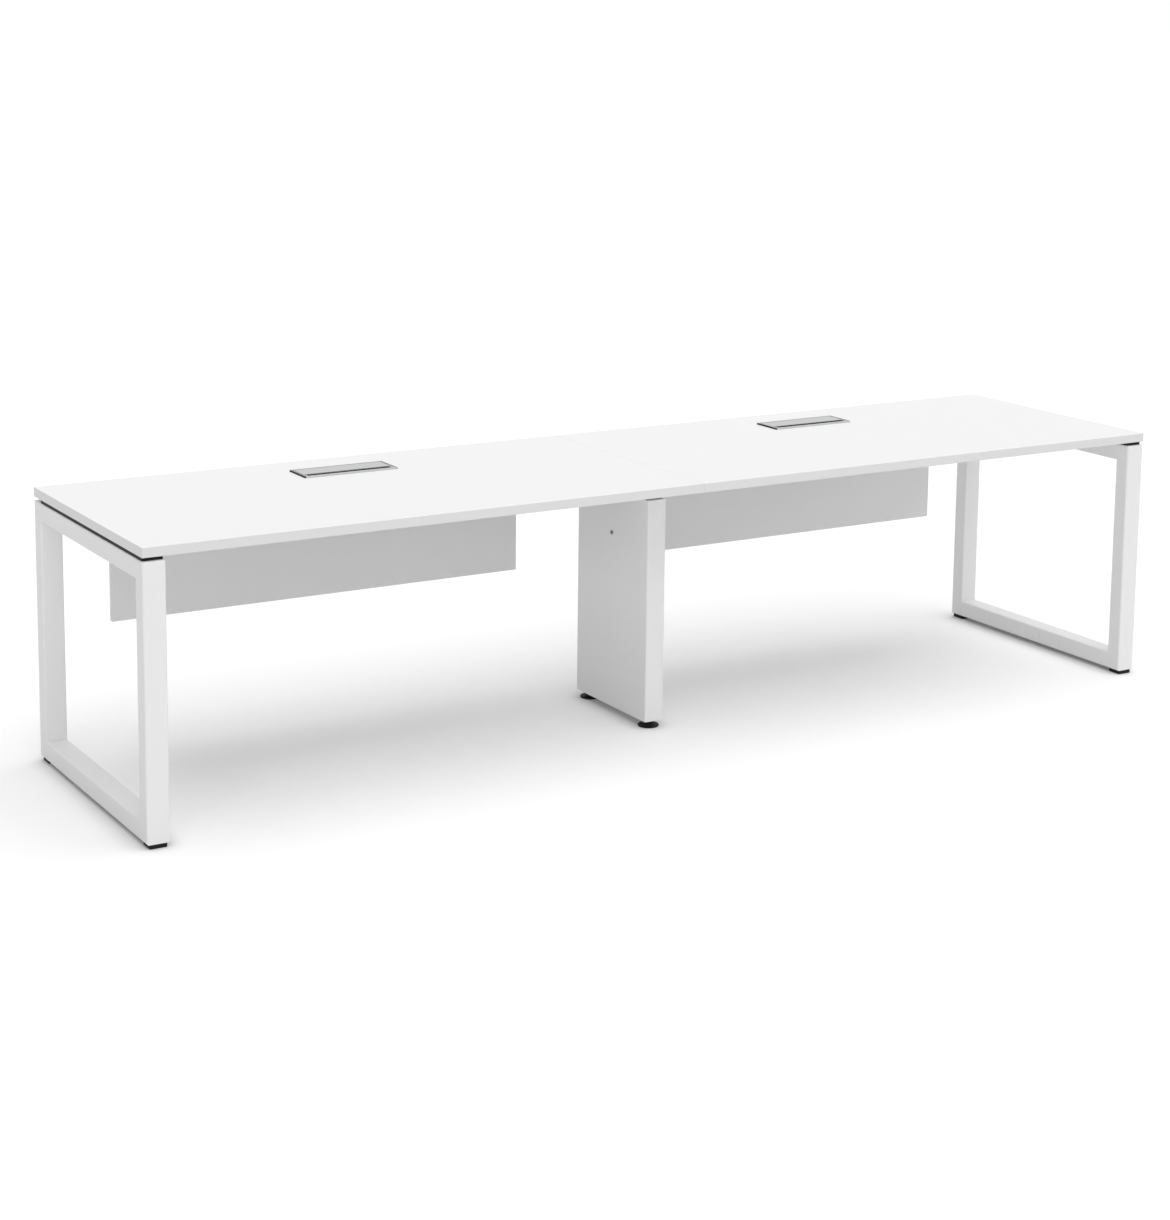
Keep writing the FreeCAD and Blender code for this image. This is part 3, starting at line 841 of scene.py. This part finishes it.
@dataclass
class LoopLeg(SubAssembly):
    """One closed loop of mitred tube with its spacer strip."""

    side: Side

    def dress(self) -> None:
        """Paints the tubes, the strip and the weld nuts."""
        stem = self.side.value + "_leg_"
        for part in ("front_post", "rear_post", "top_rail", "bottom_rail"):
            paint(stem + part, self.finishes.white_coat)
        paint(stem + "spacer", self.finishes.spacer)
        paint(stem + "foot_nuts", self.finishes.zinc)


@dataclass
class CentreLeg(SubAssembly):
    """The box leg with its saddle and the one screw that shows."""

    screw: DomedScrew = DomedScrew(6.0 * MM, 3.5 * MM, 3.0 * MM, Drive.HEX_SOCKET)

    def build(self) -> None:
        """Makes the screw on the left face."""
        refit("centre_leg_screw", self.screw, self.finishes.dark_zinc)

    def dress(self) -> None:
        """Paints the leg's pieces."""
        for part in ("shell", "base_plate", "top_plate"):
            paint("centre_leg_" + part, self.finishes.white_coat)
        paint("centre_leg_saddle", self.finishes.black_coat)
        paint("centre_leg_foot_nuts", self.finishes.zinc)


@dataclass
class Underframe(SubAssembly):
    """The four beams, their spacers and all fasteners."""

    long_screw: DomedScrew = DomedScrew(6.0 * MM, 3.5 * MM, 3.0 * MM, Drive.HEX_SOCKET)
    wood_screw: DomedScrew = DomedScrew(4.0 * MM, 2.6 * MM, 2.0 * MM, Drive.CROSS)
    plate_bolt: HexBolt = HexBolt(13.0 * MM, 5.3 * MM, 4.0 * MM)
    beam_wide: float = 30.0 * MM
    plate_thick: float = 6.0 * MM
    weld_leg: float = 4.0 * MM
    weld_inset: float = 3.0 * MM
    weld_ripple: float = 2.4 * MM
    weld_steps_per_ripple: int = 6
    weld_arc_steps: int = 4
    # Shares of a bead's full leg: at its ends, gained along its first ripple, and in each ripple's swell
    weld_end: float = 0.45
    weld_gain: float = 0.45
    weld_swell: float = 0.1

    def beams(self) -> List[str]:
        """The nodes of the four beams."""
        return [row.value + "_beam_" + side.value for side in Side for row in Row]

    def build(self) -> None:
        """Makes the fasteners that show from below and the welds of the end plates."""
        refit("worktop_screws", self.long_screw, self.finishes.zinc)
        refit("wood_screws", self.wood_screw, self.finishes.zinc)
        refit("beam_bolts", self.plate_bolt, self.finishes.zinc)
        form = bmesh.new()
        for beam in self.beams():
            self.weld(form, beam)
        welds = new_piece("beam_welds", form, self.finishes.white_coat)
        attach(welds, "root")
        LOG.info("made beam_welds on root")

    def weld(self, form: bmesh.types.BMesh, beam: str) -> None:
        """Runs a bead up both sides of one beam, in the corner with its end plate.

        Args:
            form: the mesh that takes the beads.
            beam: the beam's node.
        """
        low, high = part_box(beam)
        left = low.x < -high.x
        face = low.x + self.plate_thick if left else high.x - self.plate_thick
        inwards = 1.0 if left else -1.0
        middle = (low.y + high.y) / 2
        bottom, top = low.z + self.weld_inset, high.z - self.weld_inset
        ripple = self.weld_steps_per_ripple
        count = round((top - bottom) / self.weld_ripple * ripple)
        turns = [RIGHT_ANGLE * step / self.weld_arc_steps for step in range(self.weld_arc_steps + 1)]
        for outwards in (-1.0, 1.0):
            corner = Vector((face, middle + outwards * self.beam_wide / 2, 0.0))
            rings = []
            for step in range(count + 1):
                swell = abs(math.sin(math.pi * step / ripple))
                end = min(step, count - step, ripple) / ripple
                leg = self.weld_leg * (self.weld_end + self.weld_gain * end + self.weld_swell * swell)
                level = bottom + (top - bottom) * step / count
                arc = [corner + Vector((inwards * leg * math.cos(t), outwards * leg * math.sin(t), level))
                       for t in turns]
                points = [corner + Vector((0.0, 0.0, level))] + arc
                rings.append(points if inwards * outwards > 0 else points[::-1])
            skin(form, rings)

    def dress(self) -> None:
        """Paints the beams, spacers and fasteners."""
        for beam in self.beams():
            paint(beam, self.finishes.white_coat)
        paint("beam_spacers", self.finishes.spacer)
        for node in ("beam_weld_nuts", "saddle_bolts"):
            paint(node, self.finishes.zinc)


@dataclass
class ModestyPanel(SubAssembly):
    """One hanging panel with its brackets."""

    side: Side

    def dress(self) -> None:
        """Paints the panel and its brackets."""
        # The panel takes the greyer board, darkened as painted shade
        paint("modesty_panel_" + self.side.value, self.finishes.panel_board_painted_shade)
        paint("modesty_brackets_" + self.side.value, self.finishes.white_coat)


@dataclass
class CableOutlet(SubAssembly):
    """One cable outlet with its lid, end caps and brush."""

    side: Side
    back_deep: float = 4.0 * MM
    hair_rise: float = 0.6 * MM
    rise_stray: float = 0.3 * MM
    tuft_pitch: float = 0.9 * MM
    tuft_radius: float = 0.32 * MM
    tuft_sides: int = 5
    tuft_rows: Tuple[float, ...] = (-0.36 * MM, 0.0, 0.36 * MM)
    # Places along a tuft and the share of its radius that is left there
    tuft_taper: Tuple[Tuple[float, float], ...] = ((0.0, 1.0), (0.5, 0.95), (0.85, 0.8), (1.0, 0.35))
    tip_shortfall: float = 1.6 * MM
    tip_stray: float = 0.7 * MM
    seed: int = 11

    def build(self) -> None:
        """Makes the brush: a back strip and rows of tufts of uneven length."""
        node = "outlet_brush_" + self.side.value
        low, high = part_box(node)
        middle = (low.z + high.z) / 2
        rng = random.Random(self.seed)
        form = bmesh.new()
        front, behind = low.y, low.y + self.back_deep
        corners = [Vector((0.0, y, z)) for y, z in ((front, low.z), (behind, low.z),
                                                    (behind, high.z), (front, high.z))]
        skin(form, [[corner + Vector((x, 0.0, 0.0)) for corner in corners] for x in (low.x, high.x)])
        root = low.y + self.back_deep / 2
        count = int((high.x - low.x) / self.tuft_pitch)
        for row in self.tuft_rows:
            for index in range(count):
                start = Vector((low.x + (index + 0.5) * self.tuft_pitch, root, middle + row))
                reach = high.y - root - rng.uniform(0.0, self.tip_shortfall)
                rise = max(-self.hair_rise, min(self.hair_rise, row + rng.gauss(0.0, self.rise_stray)))
                sway = rng.uniform(-self.tip_stray, self.tip_stray)
                leftmost = low.x - start.x + self.tuft_radius
                rightmost = high.x - start.x - self.tuft_radius
                sway = max(leftmost, min(rightmost, sway))
                self.tuft(form, start, Vector((sway, reach, middle + rise - start.z)))
        stand_in(new_piece(node + "_tufts", form, self.finishes.hair), node, "root")

    def tuft(self, form: bmesh.types.BMesh, start: Vector, lean: Vector) -> None:
        """Grows one tapering tuft.

        Args:
            form: the mesh that takes it.
            start: its root.
            lean: the way from its root to its tip.
        """
        turns = [-math.tau * side / self.tuft_sides for side in range(self.tuft_sides)]
        rings = []
        for share, width in self.tuft_taper:
            centre = start + Vector((lean.x * share ** 2, lean.y * share, lean.z * share))
            rings.append([centre + Vector((math.cos(t), 0.0, math.sin(t))) * self.tuft_radius * width
                          for t in turns])
        skin(form, rings)

    def dress(self) -> None:
        """Paints the frame, lid, end caps and pins."""
        name = self.side.value
        paint("outlet_frame_" + name, self.finishes.aluminium)
        paint("outlet_lid_" + name, self.finishes.aluminium)
        paint("outlet_end_caps_" + name, self.finishes.spacer)
        paint("outlet_hinge_pins_" + name, self.finishes.zinc)


@dataclass
class LevellingFoot(SubAssembly):
    """One foot with its threaded stem, which has a spanner collar under the centre leg."""

    foot: Foot
    stem_radius: float = 5.0 * MM
    pitch: float = 1.5 * MM
    thread_depth: float = 0.85 * MM
    run_out: float = 1.5 * MM
    sides: int = 24
    steps_per_turn: int = 6
    collar_flats: float = 17.0 * MM
    collar_low: float = 12.0 * MM
    collar_tall: float = 6.0 * MM
    collar_sides: int = 36

    def build(self) -> None:
        """Makes the stem with its thread."""
        node, body = "foot_stem_" + self.foot.value, "foot_" + self.foot.value
        low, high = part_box(node)
        axis = Matrix.Translation(Vector(((low.x + high.x) / 2, (low.y + high.y) / 2, 0.0)))
        form = bmesh.new()
        skin(form, self.thread(low.z, high.z), axis)
        if self.foot.has_collar():
            skin(form, self.collar(), axis)
        stand_in(new_piece(node + "_thread", form, self.finishes.zinc), node, body)

    def thread(self, low: float, high: float) -> List[List[Vector]]:
        """Rings of a helical thread that runs out at both ends.

        Args:
            low: the stem's lower end.
            high: its upper end.

        Returns:
            Rings for one closed body.
        """
        rings = []
        count = round((high - low) / self.pitch * self.steps_per_turn)
        for step in range(count + 1):
            height = low + (high - low) * step / count
            crest = min(1.0, (height - low) / self.run_out, (high - height) / self.run_out)
            rings.append(ring(self.groove(height, crest), height, self.sides))
        return rings

    def groove(self, height: float, crest: float) -> Outline:
        """The thread's outline at one height.

        Args:
            height: the height.
            crest: 1 where the crests are full, 0 where the thread has run out.

        Returns:
            The stem's radius for each angle.
        """

        def radius(angle: float) -> float:
            """The radius at one angle, largest on the crest."""
            phase = (height / self.pitch - angle / math.tau) % 1.0
            return self.stem_radius - self.thread_depth * (1.0 - crest * abs(2.0 * phase - 1.0))

        return radius

    def collar(self) -> List[List[Vector]]:
        """Rings of the chamfered hexagon that a spanner turns."""
        low, top = self.collar_low, self.collar_low + self.collar_tall
        crown = round_outline(self.collar_flats * CROWN_SHARE)
        return [
            ring(crown, low, self.collar_sides),
            chamfer_edge(self.collar_flats, low, 1.0, self.collar_sides),
            chamfer_edge(self.collar_flats, top, -1.0, self.collar_sides),
            ring(crown, top, self.collar_sides),
        ]

    def dress(self) -> None:
        """Paints the pad."""
        paint("foot_pad_" + self.foot.value, self.finishes.foot)


@dataclass(frozen=True)
class SoftSun:
    """One even lamp: its strength, its spread in degrees and the way that it shines from."""

    name: str
    strength: float
    spread: float
    comes_from: Tuple[float, float, float]

    def build(self) -> None:
        """Hangs the lamp, which glossy surfaces don't mirror: they show the white sky and floor."""
        lamp = bpy.data.lights.new(self.name, "SUN")
        lamp.energy = self.strength
        lamp.angle = math.radians(self.spread)
        sun = bpy.data.objects.new(self.name, lamp)
        sun.rotation_mode = "QUATERNION"
        sun.rotation_quaternion = (-Vector(self.comes_from)).to_track_quat("-Z", "Y")
        sun.visible_glossy = False
        bpy.context.scene.collection.objects.link(sun)


@dataclass
class Studio:
    """The plain pale floor, the soft light and the camera."""

    floor_size: float = 160.0
    floor_colour: float = 1.0
    floor_bounce: float = 0.88
    floor_lift: float = 0.06
    floor_roughness: float = 0.9
    # Painted contact shade on the floor: how far it reaches, how much it darkens the colour, and the rays it
    # samples
    contact_reach: float = 0.06
    painted_contact_shade_depth: float = 0.42
    contact_rays: int = 2
    sky: float = 0.32
    lamps: Tuple[SoftSun, ...] = (
        SoftSun("overhead_light", strength=1.96, spread=85.0, comes_from=(0.22, -0.12, 1.0)),
        SoftSun("front_light", strength=0.74, spread=60.0, comes_from=(-0.38, -1.0, 0.5)),
    )
    eye: Tuple[float, float, float] = (-3.5953, -5.7667, 2.0871)
    yaw: float = 30.922
    pitch: float = 8.97
    roll: float = 0.607
    focal_pixels: float = 2433.3
    shift_y: float = -0.20
    frame_pixels: Tuple[int, int] = (1170, 1220)
    sensor: float = 36.0

    def build(self) -> None:
        """Makes the floor, the light and the camera."""
        self.lay_floor()
        self.light()
        self.aim_camera()

    def lay_floor(self) -> None:
        """Lays the floor under the feet, with painted shade darkening its colour where a rail or a leg comes
        close to it.
        """
        form = bmesh.new()
        bmesh.ops.create_grid(form, x_segments=1, y_segments=1, size=self.floor_size / 2)
        sheet = FinishSheet("studio_floor")
        seen = sheet.looked_at()
        # Painted shade: ambient occlusion darkens the floor's seen colour and its lift where a rail or a leg
        # comes close
        clear = sheet.node("ShaderNodeAmbientOcclusion", {"samples": self.contact_rays},
                           {"Distance": self.contact_reach}, "AO")
        shade = 1.0 - (1.0 - clear) * self.painted_contact_shade_depth
        sheet.feed({
            "Base Color": self.floor_bounce + seen * (shade * self.floor_colour - self.floor_bounce),
            "Roughness": self.floor_roughness,
            "Specular IOR Level": 0.0,
            "Emission Color": seen * shade * self.floor_lift,
            "Emission Strength": 1.0,
        })
        floor = new_piece("studio_floor", form, sheet.material)

    def light(self) -> None:
        """Sets an even sky, white where it is seen, and the soft lamps."""
        scene = bpy.context.scene
        scene.view_settings.view_transform = "Standard"
        world = bpy.data.worlds.new("studio_sky")
        world.use_nodes = True
        scene.world = world
        sheet = NodeSheet(world.node_tree)
        strength = self.sky + sheet.looked_at() * (1.0 - self.sky)
        white = (*grey(1.0), 1.0)
        background = sheet.node("ShaderNodeBackground", {}, {"Color": white, "Strength": strength})
        output = world.node_tree.nodes.new("ShaderNodeOutputWorld")
        sheet.plug(output.inputs["Surface"], background)
        for lamp in self.lamps:
            lamp.build()

    def aim_camera(self) -> None:
        """Stands the camera where the photograph was taken from."""
        yaw, pitch, roll = (math.radians(angle) for angle in (self.yaw, self.pitch, self.roll))
        ahead = Vector((math.sin(yaw) * math.cos(pitch), math.cos(yaw) * math.cos(pitch), -math.sin(pitch)))
        level = Vector((math.cos(yaw), -math.sin(yaw), 0.0))
        upright = level.cross(ahead)
        right = level * math.cos(roll) + upright * math.sin(roll)
        up = upright * math.cos(roll) - level * math.sin(roll)
        lens = bpy.data.cameras.new("photo_camera")
        lens.sensor_width = self.sensor
        lens.lens = self.focal_pixels * self.sensor / max(self.frame_pixels)
        lens.shift_y = self.shift_y
        lens.clip_end = self.floor_size
        camera = bpy.data.objects.new("photo_camera", lens)
        turn = Matrix((right, up, -ahead)).transposed().to_4x4()
        camera.matrix_world = Matrix.Translation(Vector(self.eye)) @ turn
        bpy.context.scene.collection.objects.link(camera)
        bpy.context.scene.camera = camera


def main() -> None:
    """Builds and dresses the desk, then sets the studio round it."""
    logging.basicConfig(level=logging.INFO, format="%(message)s")
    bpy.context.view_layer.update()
    finishes = FinishCard()
    parts: List[SubAssembly] = [Worktop(finishes), CentreLeg(finishes), Underframe(finishes)]
    for side in Side:
        parts += [LoopLeg(finishes, side), ModestyPanel(finishes, side), CableOutlet(finishes, side)]
    parts += [LevellingFoot(finishes, foot) for foot in Foot]
    for part in parts:
        part.build()
        part.dress()
    Studio().build()


if __name__ == "__main__":
    main()
